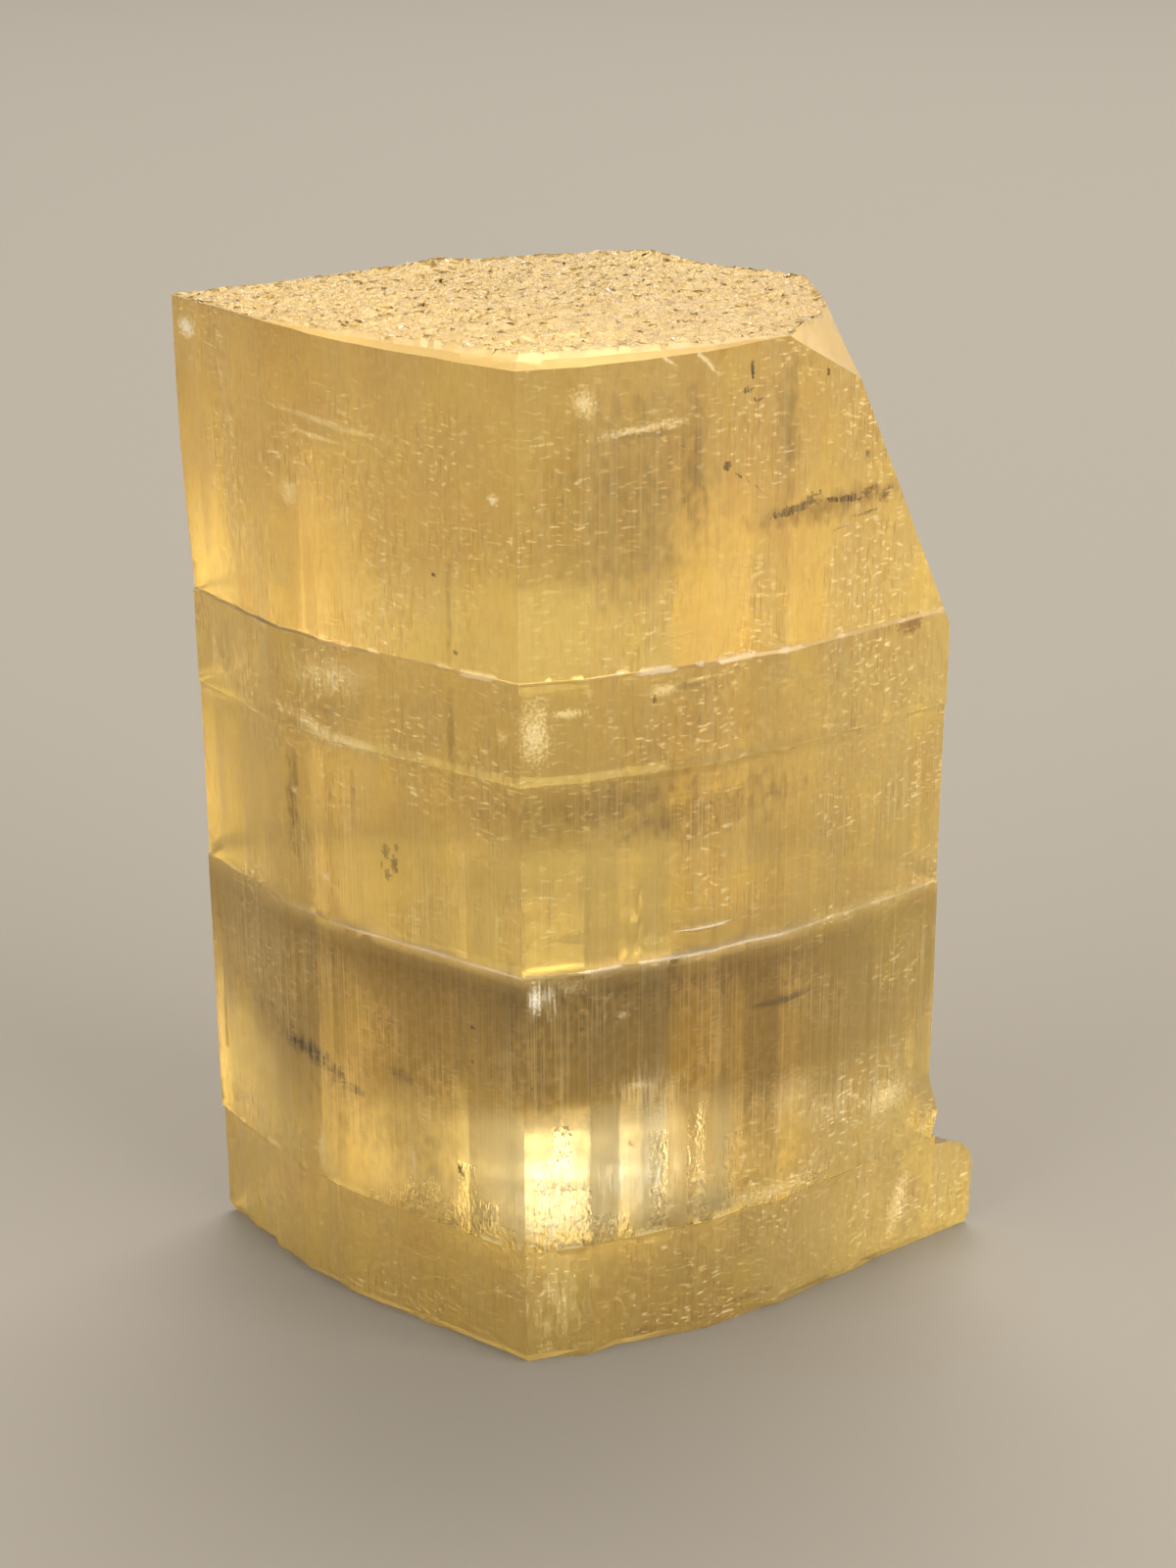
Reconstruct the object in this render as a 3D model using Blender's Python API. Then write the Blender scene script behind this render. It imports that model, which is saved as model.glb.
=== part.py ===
"""Imperial topaz: one prismatic crystal, standing upright on its basal cleavage.

The prism is bounded by the topaz forms m {110} and l {120}, whose slopes follow from the
mineral's axial ratio.  Four cleavage levels part the height into storeys that step a little
over each other, a break takes off the upper right corner, the lowest storey keeps a lip on
the right, and the flat top is etched.  +Z is the c axis, the blunt front edge points to -Y,
and the origin is the middle of the bounding box's underside.
"""

import math
import random

import bmesh
import bpy
from mathutils import Vector
from mathutils.geometry import delaunay_2d_cdt

# ---- Driving dimensions, in millimetres and degrees ----------------------------------------
MM = 0.001                     # metres in a millimetre
NODE = "topaz_crystal"

HEIGHT = 35.4                  # base to the etched top
AXIAL_RATIO = 0.5285           # a : b of topaz, which sets the slopes of m and l
TURN = 7.72                    # the a axis is turned this far towards +X
M_FRONT = 8.75                 # from the c axis to the two front m faces
M_BACK = (9.25, 9.10)          # to the back m faces, left and right
L_FRONT = (9.84, 9.46)         # to the front l faces, left and right
L_BACK = (9.38, 10.10)         # to the back l faces, left and right
CORNER_WEAR = 0.35             # how far the soft corners between m and l are cut back
FRONT_STRIP = (0.24, 0.23)     # a flatter strip beside the front edge: share of the face, bend

CLEAVAGES = (4.42, 14.79, 21.48, 24.97)      # heights of the basal cleavages
LIP_REACH = 2.75               # the lowest storey's right edge is drawn out by this
LIP_ROOT = 7.5                 # distance from the c axis, along b, at which the lip begins
LIP_GROWTH = 1.6               # power by which it then grows towards the right edge
LIP_ROUND = (2.55, 3.98)       # heights between which the lip rounds over
LIP_REST = 0.24                # share of the lip that is left at the first cleavage
LIP_STEPS = 4                  # rings in that rounding
BULGE = (4.42, 6.90, 0.38)     # second small swelling on the right: from, to, reach
BULGE_REACH = (10.5, 3.0)      # it begins this far right of the c axis, and is whole this far on
FLARE = 0.28                   # the top storey widens upwards on the left by this
FLARE_REACH = (9.0, 4.0)       # where that begins and how far on it is whole
FLARE_TOP = 0.75               # share of the top storey's height at which it is whole
STEPS = (0.10, 0.00, 0.05, 0.00, 0.07)       # inset of each storey, lowest first
LEDGE = 0.05                   # half the height over which one storey steps to the next
WAVER = 0.025                  # how far the faces waver between levels of growth
WAVER_TURNS = (1.9, 2.3)       # radians of that waver for each section point and each mm up
GROWTH = {1: (5.6, 7.0, 10.6), 2: (18.0,), 4: (27.6, 30.2, 32.8)}  # those levels, by storey

STRIA_FLATS = 8                # growth flats across each prism face
STRIA_DEPTH = 0.085            # depth of the grooves between them
STRIA_SPREAD = 0.34            # how unevenly they are spaced, as a share of one flat
STRIA_LEAST = 0.15             # the shallowest groove, as a share of the deepest

BASE_WEAR = (0.10, 0.34)       # least and most chipping round the base edge
BASE_CHIP = 0.40               # height of that worn band
RIM_DROP = 0.40                # the rounded front rim starts this far below the top
RIM_WIDTH = 0.80               # and is this wide
RIM_REACH = 9.0                # it fades out this far to either side of the front edge
RIM_LEAST = 0.06               # what is left of it elsewhere
RIM_CROWN = (0.35, 0.38)       # its middle ring: share of the width, share of the drop

TOP_CELL = 1.25                # spacing of the etched top's facets
TOP_RELIEF = (-0.11, 0.07)     # the lowest and the highest of them
KNOBS = ((-4.0, 17.9, 1.3, 0.26), (4.3, 18.6, 1.7, 0.30))   # back rim knobs: x, y, radius, rise
KNOB_BAND = 0.5                # only what is this close to the top rises

# Breaks: a point on the plane, seen from the front edge's foot, and its outward normal.
CORNER_BREAK = ((8.80, 3.68, 35.20), (0.675, -0.215, 0.706))
SIDE_BREAK = ((11.12, 5.40, 33.55), (0.924, 0.046, 0.380))
BREAK_CELL = 1.5               # spacing of the broken faces' facets
BREAK_RIBS = (0.10, 3.4)       # height and spacing of the conchoidal ribs
BREAK_GRAIN = 0.06             # unevenness on top of the ribs
BREAK_WELD = 0.02              # points closer than this along a cut are one

CELL_SPREAD = (0.2, 0.8)       # where in its cell each facet's point may fall
CELL_MARGIN = 0.38             # and how far from the rim, as a share of the cell

# Shell-shaped scars on the hidden edges: corner (as corners counts them), height, the radius
# of the shell and the depth of its bite.
SCARS = ((4, 12.5, 11.0, 0.60), (4, 31.5, 6.0, 0.60), (5, 20.0, 9.0, 0.45), (5, 0.8, 6.0, 0.55))
SCAR_DETAIL = 5                # subdivisions of the icosphere that leaves a scar

SEED = 11


# ---- The prism's cross-section --------------------------------------------------------------
def face_directions():
    """Outward plan directions of the eight prism faces, anticlockwise from the front left m."""
    m = math.degrees(math.atan(AXIAL_RATIO))
    l = math.degrees(math.atan(2 * AXIAL_RATIO))
    front = 270 - TURN
    angles = (front - m, front + m, front + l, front + 180 - l,
              front + 180 - m, front + 180 + m, front + 180 + l, front + 360 - l)
    return [Vector((math.cos(math.radians(a)), math.sin(math.radians(a)))) for a in angles]


def face_distances():
    """Distances of the same eight faces from the c axis."""
    return (M_FRONT, M_FRONT, L_FRONT[1], L_BACK[1],
            M_BACK[1], M_BACK[0], L_BACK[0], L_FRONT[0])


def meet(n1, d1, n2, d2):
    """Point where two face lines cross."""
    det = n1.x * n2.y - n1.y * n2.x
    return Vector(((d1 * n2.y - d2 * n1.y) / det, (n1.x * d2 - n2.x * d1) / det))


def corners():
    """Corners of the section: front edge, right m/l, right edge, and so on, anticlockwise."""
    normals, dists = face_directions(), face_distances()
    count = len(normals)
    return [meet(normals[i], dists[i], normals[(i + 1) % count], dists[(i + 1) % count])
            for i in range(count)]


def stria_pattern(rng):
    """Where each face's flats end, as shares of its length, and how deep each groove is."""
    pattern = []
    for _ in range(8):
        shares = [(k + rng.uniform(-STRIA_SPREAD, STRIA_SPREAD)) / STRIA_FLATS
                  for k in range(1, STRIA_FLATS)]
        depths = [STRIA_DEPTH * rng.uniform(STRIA_LEAST, 1.0) * (k % 2)
                  for k in range(1, STRIA_FLATS)]
        pattern.append(list(zip(shares, depths)))
    return pattern


def strip_bend(share):
    """How far the front right m face stands out where the strip beside the front edge ends."""
    width, bend = FRONT_STRIP
    return bend * min(share / width, (1.0 - share) / (1.0 - width))


def outline(lip, inset, pattern):
    """Section points, anticlockwise: worn corners with the striated faces between them."""
    pts = corners()
    count = len(pts)
    soft = (1, 3, 5, 7)                       # corners between m and l, which are worn round
    section = []
    for i in range(count):
        here, after = pts[i], pts[(i + 1) % count]
        along = (after - here).normalized()
        inward = Vector((-along.y, along.x))
        wear = CORNER_WEAR if i in soft else 0.0
        bisector = -(here.normalized())
        section.append(here + bisector * (wear + inset))
        for share, depth in pattern[i]:
            proud = strip_bend(share) if i == 0 else 0.0
            section.append(here.lerp(after, share) + inward * (depth + inset - proud))
    right = pts[2]
    b_axis = right.normalized()
    front_l = (right - pts[1]).normalized()
    for k, p in enumerate(section):
        share = (p.dot(b_axis) - LIP_ROOT) / (right.length - LIP_ROOT)
        if share > 0:
            section[k] = p + front_l * lip * share ** LIP_GROWTH
    return section


# ---- Rings from the base to the rim ---------------------------------------------------------
def widening(p, z):
    """What is added to x at one height: the flared left edge, or the swelling on the right."""
    if z > CLEAVAGES[3] and p.x < 0:
        start, width = FLARE_REACH
        rise = (z - CLEAVAGES[3]) / ((HEIGHT - CLEAVAGES[3]) * FLARE_TOP)
        share = min(1.0, max(0.0, (-p.x - start) / width))
        return -FLARE * share * math.sin(0.5 * math.pi * min(rise, 1.0))
    low, high, reach = BULGE
    if low <= z <= high and p.x > 0:
        start, width = BULGE_REACH
        share = min(1.0, max(0.0, (p.x - start) / width))
        return reach * share * math.sin(math.pi * (0.15 + 0.7 * (z - low) / (high - low)))
    return 0.0


def front_nearness(p, front):
    """1 at the front edge, falling to 0 at RIM_REACH to either side of it."""
    if p.y > 0:
        return 0.0
    return max(0.0, 1.0 - ((p.x - front.x) / RIM_REACH) ** 2)


def ring(z, storey, pattern, lip_share=1.0):
    """One ring of points at height z."""
    lip = LIP_REACH * lip_share if storey == 0 else 0.0
    points = []
    for i, p in enumerate(outline(lip, STEPS[storey], pattern)):
        drawn_in = WAVER * (0.5 + 0.5 * math.sin(WAVER_TURNS[0] * i + WAVER_TURNS[1] * z))
        plan = p * (1.0 - drawn_in / p.length)
        points.append(Vector((plan.x + widening(p, z), plan.y, z)))
    return points


def worn_base(section, rng):
    """The lowest ring: the first one drawn in by uneven chipping."""
    worn = []
    for p in section:
        flat = Vector((p.x, p.y, 0.0))
        worn.append(flat * (1.0 - rng.uniform(*BASE_WEAR) / flat.length))
    return worn


def rim_rings(pattern, front):
    """The wall's upper end and the top's edge, with the rounded front rim between them."""
    wall, crown, edge = [], [], []
    width_share, drop_share = RIM_CROWN
    for p in ring(HEIGHT - RIM_DROP, 4, pattern):
        near = max(front_nearness(p, front), RIM_LEAST)
        plan = Vector((p.x, p.y, 0.0))
        inward = -plan.normalized()
        wall.append(Vector((p.x, p.y, HEIGHT - RIM_DROP * near)))
        up = Vector((0, 0, HEIGHT - RIM_DROP * near * drop_share))
        crown.append(plan + inward * RIM_WIDTH * near * width_share + up)
        edge.append(plan + inward * RIM_WIDTH * near + Vector((0, 0, HEIGHT)))
    return wall, crown, edge


def lip_rings(pattern):
    """The lowest storey above its worn foot, where the lip rounds over to the first cleavage."""
    low, high = LIP_ROUND
    rings = []
    for k in range(LIP_STEPS + 1):
        turn = 0.5 * math.pi * k / LIP_STEPS
        share = LIP_REST + (1.0 - LIP_REST) * math.cos(turn)
        rings.append(ring(low + (high - low) * math.sin(turn), 0, pattern, share))
    return rings


def crystal_rings(rng):
    """Every ring from the base to the rim, in order."""
    pattern = stria_pattern(rng)
    foot = ring(BASE_CHIP, 0, pattern)
    rings = [worn_base(foot, rng), foot, *lip_rings(pattern)]
    for level, z in enumerate(CLEAVAGES):
        rings.append(ring(z - LEDGE, level, pattern, LIP_REST))
        rings.append(ring(z + LEDGE, level + 1, pattern))
        rings.extend(ring(between, level + 1, pattern) for between in GROWTH.get(level + 1, ()))
    rings.extend(rim_rings(pattern, corners()[0]))
    return rings


# ---- Mesh building --------------------------------------------------------------------------
def loft(bm, rings):
    """Walls between the rings, and a flat base; the top stays open."""
    rows = [[bm.verts.new(p) for p in r] for r in rings]
    count = len(rows[0])
    for low, high in zip(rows, rows[1:]):
        for i in range(count):
            j = (i + 1) % count
            bm.faces.new((low[i], low[j], high[j], high[i]))
    bm.faces.new(list(reversed(rows[0])))


def open_loop(bm):
    """Vertices round the mesh's one open edge, in order."""
    edges = [e for e in bm.edges if e.is_boundary]
    start = edges[0].verts[0]
    loop, previous, here = [start], None, start
    while True:
        step = next(e for e in here.link_edges if e.is_boundary and e is not previous)
        previous, here = step, step.other_vert(here)
        if here is start:
            return loop
        loop.append(here)


def inside(point, polygon):
    """Whether a plan point lies inside a polygon."""
    hit = False
    for a, b in zip(polygon, polygon[1:] + polygon[:1]):
        if (a.y > point.y) != (b.y > point.y):
            hit ^= point.x < a.x + (point.y - a.y) * (b.x - a.x) / (b.y - a.y)
    return hit


def edge_distance(point, polygon):
    """Distance from a plan point to a polygon's edge."""
    best = math.inf
    for a, b in zip(polygon, polygon[1:] + polygon[:1]):
        side = b - a
        share = max(0.0, min(1.0, (point - a).dot(side) / max(side.length_squared, 1e-9)))
        best = min(best, (a + side * share - point).length)
    return best


def fill_rough(bm, normal, cell, relief, rng):
    """Close the open edge with irregular facets, lifted along normal by relief(point)."""
    loop = open_loop(bm)
    normal = Vector(normal).normalized()
    across = normal.orthogonal().normalized()
    along = normal.cross(across)
    origin = sum((v.co for v in loop), Vector()) / len(loop)
    flat = [Vector(((v.co - origin).dot(across), (v.co - origin).dot(along))) for v in loop]
    if sum(a.x * b.y - b.x * a.y for a, b in zip(flat, flat[1:] + flat[:1])) < 0:
        loop.reverse()
        flat.reverse()
    low_u, high_u = min(p.x for p in flat), max(p.x for p in flat)
    low_v, high_v = min(p.y for p in flat), max(p.y for p in flat)
    grid = []
    for i in range(int((high_u - low_u) / cell) + 1):
        for j in range(int((high_v - low_v) / cell) + 1):
            p = Vector((low_u + (i + rng.uniform(*CELL_SPREAD)) * cell,
                        low_v + (j + rng.uniform(*CELL_SPREAD)) * cell))
            if inside(p, flat) and edge_distance(p, flat) > CELL_MARGIN * cell:
                grid.append(p)
    count = len(loop)
    rim = [(i, (i + 1) % count) for i in range(count)]
    points, _, tris, _, _, _ = delaunay_2d_cdt(flat + grid, rim, [list(range(count))], 1, 1e-6)
    verts = list(loop)
    for p in points[count:]:
        place = origin + across * p.x + along * p.y
        base = height_on_loop(place, loop, normal)
        verts.append(bm.verts.new(place + normal * (base + relief(place))))
    for tri in tris:
        bm.faces.new([verts[i] for i in tri])


def height_on_loop(place, loop, normal):
    """How far the rim round the opening stands above a point, as a distance-weighted mean."""
    total = weight = 0.0
    for v in loop:
        gap = v.co - place
        w = 1.0 / max(gap.length, 0.05) ** 2
        total += gap.dot(normal) * w
        weight += w
    return total / weight


def break_off(bm, plane, front_foot, rng):
    """Cut the body by a plane and close the cut with a rough broken face."""
    point, normal = Vector(plane[0]) + front_foot, Vector(plane[1]).normalized()
    bmesh.ops.bisect_plane(bm, geom=bm.verts[:] + bm.edges[:] + bm.faces[:], dist=1e-4,
                           plane_co=point, plane_no=normal, clear_outer=True)
    bmesh.ops.remove_doubles(bm, verts=[v for v in bm.verts if v.is_boundary], dist=BREAK_WELD)
    fill_rough(bm, normal, BREAK_CELL, conchoidal(point, rng), rng)


def etched(rng):
    """Relief of the etched top: low, irregular facets."""
    return lambda place: rng.uniform(*TOP_RELIEF)


def conchoidal(start, rng):
    """Relief of a broken face: ribs that spread from the point where the break began."""
    height, spacing = BREAK_RIBS

    def relief(place):
        ribs = height * math.sin(2 * math.pi * (place - start).length / spacing)
        return ribs + rng.uniform(-BREAK_GRAIN, BREAK_GRAIN)
    return relief


def raise_knobs(bm, front_foot):
    """Lift the top's back rim where two growth layers stand proud."""
    for v in bm.verts:
        if v.co.z > HEIGHT - KNOB_BAND:
            for x, y, radius, rise in KNOBS:
                gap = (v.co.xy - Vector((x, y)) - front_foot.xy).length
                v.co.z += rise * max(0.0, 1.0 - (gap / radius) ** 2)


def build_mesh():
    """The crystal before its scars, in metres over its base, and where the c axis then stands."""
    rng = random.Random(SEED)
    front = corners()[0]
    front_foot = Vector((front.x, front.y, 0.0))
    bm = bmesh.new()
    loft(bm, crystal_rings(rng))
    fill_rough(bm, (0, 0, 1), TOP_CELL, etched(rng), rng)
    raise_knobs(bm, front_foot)
    for plane in (SIDE_BREAK, CORNER_BREAK):
        break_off(bm, plane, front_foot, rng)
    bmesh.ops.triangulate(bm, faces=bm.faces[:])
    bmesh.ops.recalc_face_normals(bm, faces=bm.faces[:])
    low = Vector([min(v.co[k] for v in bm.verts) for k in range(3)])
    high = Vector([max(v.co[k] for v in bm.verts) for k in range(3)])
    middle = Vector(((low.x + high.x) / 2, (low.y + high.y) / 2, low.z))
    for v in bm.verts:
        v.co = (v.co - middle) * MM
    mesh = bpy.data.meshes.new(NODE)
    bm.to_mesh(mesh)
    bm.free()
    return mesh, -middle


def scar_cutter(name, scar, axis_foot):
    """The sphere that a Boolean takes out of the crystal to leave one scar."""
    corner, height, radius, depth = scar
    edge = corners()[corner]
    plan = edge + edge.normalized() * (radius - depth)
    middle = Vector((plan.x, plan.y, height)) + axis_foot
    bm = bmesh.new()
    bmesh.ops.create_icosphere(bm, subdivisions=SCAR_DETAIL, radius=radius * MM)
    bmesh.ops.translate(bm, verts=bm.verts, vec=middle * MM)
    mesh = bpy.data.meshes.new(name)
    bm.to_mesh(mesh)
    bm.free()
    cutter = bpy.data.objects.new(name, mesh)
    cutter.hide_render = True
    cutter.display_type = "WIRE"
    bpy.context.scene.collection.objects.link(cutter)
    return cutter


# ---- Material and object --------------------------------------------------------------------
def topaz_material():
    """Clear honey-gold topaz."""
    material = bpy.data.materials.new("honey topaz")
    material.use_nodes = True
    shader = material.node_tree.nodes["Principled BSDF"]
    shader.inputs["Base Color"].default_value = (0.62, 0.38, 0.10, 1.0)
    shader.inputs["Roughness"].default_value = 0.15
    shader.inputs["Metallic"].default_value = 0.0
    shader.inputs["IOR"].default_value = 1.62
    shader.inputs["Transmission Weight"].default_value = 1.0
    return material


def main():
    for obj in list(bpy.data.objects):
        bpy.data.objects.remove(obj, do_unlink=True)
    mesh, axis_foot = build_mesh()
    mesh.materials.append(topaz_material())
    crystal = bpy.data.objects.new(NODE, mesh)
    bpy.context.scene.collection.objects.link(crystal)
    for number, scar in enumerate(SCARS, 1):
        cut = crystal.modifiers.new(f"scar {number}", "BOOLEAN")
        cut.operation = "DIFFERENCE"
        cut.solver = "EXACT"
        cut.object = scar_cutter(f"scar_cutter_{number}", scar, axis_foot)


main()
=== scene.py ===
# %% [markdown]
# # A see-through imperial topaz crystal
# This lesson dresses one natural crystal: a stout prism of honey-gold topaz that stands on the
# flat face where it once split from its rock.  The construction model gives its true shape and
# size.  Here it gets a finer surface, the cracks that cross its inside, its flaws and rust
# stains, and a material that lets light through.

# %% Load the construction model
import math
import random

import bmesh
import bpy
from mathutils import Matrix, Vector, noise
from mathutils.bvhtree import BVHTree


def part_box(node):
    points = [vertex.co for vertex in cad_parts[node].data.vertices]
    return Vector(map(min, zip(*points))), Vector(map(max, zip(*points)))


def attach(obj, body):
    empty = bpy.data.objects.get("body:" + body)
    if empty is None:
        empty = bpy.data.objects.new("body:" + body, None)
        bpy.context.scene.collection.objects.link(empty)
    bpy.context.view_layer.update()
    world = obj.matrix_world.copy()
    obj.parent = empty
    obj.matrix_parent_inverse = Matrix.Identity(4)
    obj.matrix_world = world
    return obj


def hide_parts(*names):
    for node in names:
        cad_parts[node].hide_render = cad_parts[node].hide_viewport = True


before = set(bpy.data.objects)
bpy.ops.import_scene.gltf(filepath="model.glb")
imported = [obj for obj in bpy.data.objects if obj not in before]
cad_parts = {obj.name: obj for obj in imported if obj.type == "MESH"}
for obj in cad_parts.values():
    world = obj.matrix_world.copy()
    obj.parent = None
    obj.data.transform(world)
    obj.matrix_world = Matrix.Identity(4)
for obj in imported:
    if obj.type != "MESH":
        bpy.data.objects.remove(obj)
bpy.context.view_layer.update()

MM = 0.001                     # metres in a millimetre
low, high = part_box("topaz_crystal")
print("crystal, mm:", [round(v / MM, 2) for v in (high - low)])

# %% [markdown]
# ## Camera and studio
# The crystal is looked down on at about twenty degrees from close by, which is what makes its
# upright edges lean together towards the foot.  A see-through thing is lit mostly by what stands
# behind it.  So the room is a pale tent of light that is brightest low down, over a pale floor,
# and a window pane above the camera's view is there to be mirrored by the lowest crack.

# %% The camera
CAMERA_PLACE = Vector((-0.068, -91.18, 51.74)) * MM
CAMERA_PITCH = 20.337          # degrees below the horizon
CAMERA_ROLL = 0.164
CAMERA_LENS = 62.0             # mm, on a 36 mm sensor

camera_data = bpy.data.cameras.new("camera")
camera_data.lens = CAMERA_LENS
camera_data.sensor_width = 36.0
camera_data.clip_start = 1 * MM
camera = bpy.data.objects.new("camera", camera_data)
bpy.context.scene.collection.objects.link(camera)
camera.location = CAMERA_PLACE
camera.rotation_euler = (math.radians(90.0 - CAMERA_PITCH), math.radians(CAMERA_ROLL), 0.0)
bpy.context.scene.camera = camera
print("camera stands", round(-CAMERA_PLACE.y / MM), "mm in front of the crystal's middle")


# %% Colours and nodes
def linear(code):
    """An sRGB hex colour as the linear colour that shaders and lights take."""
    parts = [int(code[i:i + 2], 16) / 255 for i in (1, 3, 5)]
    return tuple(c / 12.92 if c <= 0.04045 else ((c + 0.055) / 1.055) ** 2.4 for c in parts) + (1.0,)


def add_node(tree, kind, inputs=None, **settings):
    """Add one node with its settings.  An input takes a plain value or another node's output."""
    node = tree.nodes.new(kind)
    for name, value in settings.items():
        setattr(node, name, value)
    for name, value in (inputs or {}).items():
        if isinstance(value, bpy.types.NodeSocket):
            tree.links.new(value, node.inputs[name])
        else:
            node.inputs[name].default_value = value
    return node


print("half grey in linear light:", round(linear("#808080")[0], 3))


# %% The floor
def pale_card():
    """Matt pale card: it takes the crystal's shadow and its golden light."""
    card = bpy.data.materials.new("pale card")
    card.use_nodes = True
    tree = card.node_tree
    shader = tree.nodes["Principled BSDF"]
    place = add_node(tree, "ShaderNodeTexCoord").outputs["Object"]
    fibre = add_node(tree, "ShaderNodeTexNoise", {"Vector": place, "Scale": 900.0, "Detail": 3.0})
    bump = add_node(tree, "ShaderNodeBump", {"Height": fibre.outputs["Fac"], "Strength": 0.3,
                                             "Distance": 0.05 * MM})
    tree.links.new(bump.outputs["Normal"], shader.inputs["Normal"])
    shader.inputs["Base Color"].default_value = linear("#9E978C")
    shader.inputs["Roughness"].default_value = 0.7
    return card


FLOOR_GAP = 0.02 * MM          # keeps the floor and the crystal's flat base from sharing a plane

bpy.ops.object.select_all(action="DESELECT")
bpy.ops.mesh.primitive_plane_add(size=8.0, location=(0.0, 1.0, -FLOOR_GAP))
floor = bpy.context.active_object
floor.name = "floor"
floor.data.materials.append(pale_card())
print("floor:", round(FLOOR_GAP / MM, 2), "mm under the crystal")


# %% The lights
# Name, azimuth and elevation in degrees, width and height in metres, brightness, and colour.
SOFTBOXES = (
    ("window pane", 6.0, 29.6, (0.22, 0.06), 10.0, "#FFFBF2"),
    ("second pane", 46.0, 30.0, (0.22, 0.08), 5.0, "#FFFBF2"),
    ("left window", -125.0, 20.0, (0.90, 0.75), 3.9, "#FFF9EE"),
    ("right window", 125.0, 20.0, (0.90, 0.75), 6.6, "#FFF9EE"),
    ("ceiling", 10.0, 62.0, (0.90, 0.60), 5.0, "#FFF8EE"),
)
SOFTBOX_DISTANCE = 1.2         # metres from the crystal's middle


def add_softbox(name, azimuth, elevation, size, brightness, colour):
    """A soft rectangular light, placed by the direction in which the crystal sees it."""
    aim = Vector((0.0, 0.0, 0.5 * high.z))
    turn, rise = math.radians(azimuth), math.radians(elevation)
    away = Vector((math.sin(turn) * math.cos(rise), math.cos(turn) * math.cos(rise), math.sin(rise)))
    light = bpy.data.lights.new(name, "AREA")
    light.shape = "RECTANGLE"
    light.size, light.size_y = size
    light.energy = brightness * math.pi * size[0] * size[1]      # watts, for an even brightness
    light.color = linear(colour)[:3]
    lamp = bpy.data.objects.new(name, light)
    bpy.context.scene.collection.objects.link(lamp)
    lamp.location = aim + away * SOFTBOX_DISTANCE
    lamp.rotation_mode = "QUATERNION"
    lamp.rotation_quaternion = (-away).to_track_quat("-Z", "Y")


for softbox in SOFTBOXES:
    add_softbox(*softbox)
print("softboxes:", ", ".join(softbox[0] for softbox in SOFTBOXES))

# %% The tent of light
TENT_BRIGHTNESS = 0.84
TENT_SHADES = ((0.24, "#FFFDF8"), (0.37, "#C0C0BF"))      # by the sine of the elevation

world = bpy.data.worlds.new("tent of light")
bpy.context.scene.world = world
world.use_nodes = True
tree = world.node_tree
toward = add_node(tree, "ShaderNodeTexCoord")
height = add_node(tree, "ShaderNodeSeparateXYZ", {"Vector": toward.outputs["Generated"]}).outputs["Z"]
shade = add_node(tree, "ShaderNodeValToRGB", {"Fac": height})
for stop, (position, colour) in zip(shade.color_ramp.elements, TENT_SHADES):
    stop.position = position
    stop.color = linear(colour)
tree.links.new(shade.outputs["Color"], tree.nodes["Background"].inputs["Color"])
tree.nodes["Background"].inputs["Strength"].default_value = TENT_BRIGHTNESS
bpy.context.scene.view_settings.view_transform = "Standard"
print("tent:", ", ".join(colour for _, colour in TENT_SHADES))


# %% [markdown]
# ## One topaz with many finishes
# Topaz is one clear material all through: it bends light by 1.62, and it takes a little blue out
# of what passes, so that it looks honey gold.  What differs is how each face was made.  Growth
# left the prism faces glossy with fine upright grooves, acid etched the top to sugar, wear
# dulled the rim, a break left a shell-like face, and a cleavage is as smooth as plate glass.
#
# All this is a single material.  A renderer knows that a ray is inside a clear body by the
# material through which it went in, and with another one on the far side it would never come
# out again.  So every face carries its finish as attributes, and the material reads those.

# %% The finishes
# Tint, roughness, clearness, size of the grain in mm along each axis, and its depth in mm.
# The striations' and the grit's grain is coarser than the real ones', so that it shows.
FINISHES = {
    "striated": ("#FFDF7E", 0.30, 0.92, (0.12, 0.12, 30.0), 0.0012),
    "etched": ("#FFDA8E", 0.24, 0.42, (0.15, 0.15, 0.15), 0.16),
    "worn": ("#FFDB8C", 0.40, 0.55, (0.60, 0.60, 0.60), 0.03),
    "broken": ("#FFDB8C", 0.35, 0.62, (0.90, 0.90, 0.90), 0.08),
    "base": ("#FFEDBA", 0.45, 0.60, (0.50, 0.50, 0.50), 0.04),
    "cleaved": ("#FFFFFF", 0.00, 1.00, (0.80, 2.40, 1.20), 0.006),
    "gritty": ("#FFFFFF", 0.00, 1.00, (0.15, 0.90, 1.00), 0.016),
}
# A milky pale tint; it also colours painted glints among the milky marks.
MILK_AND_GLINT = "#FFEDC4"
print("finishes:", ", ".join(FINISHES))
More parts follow.
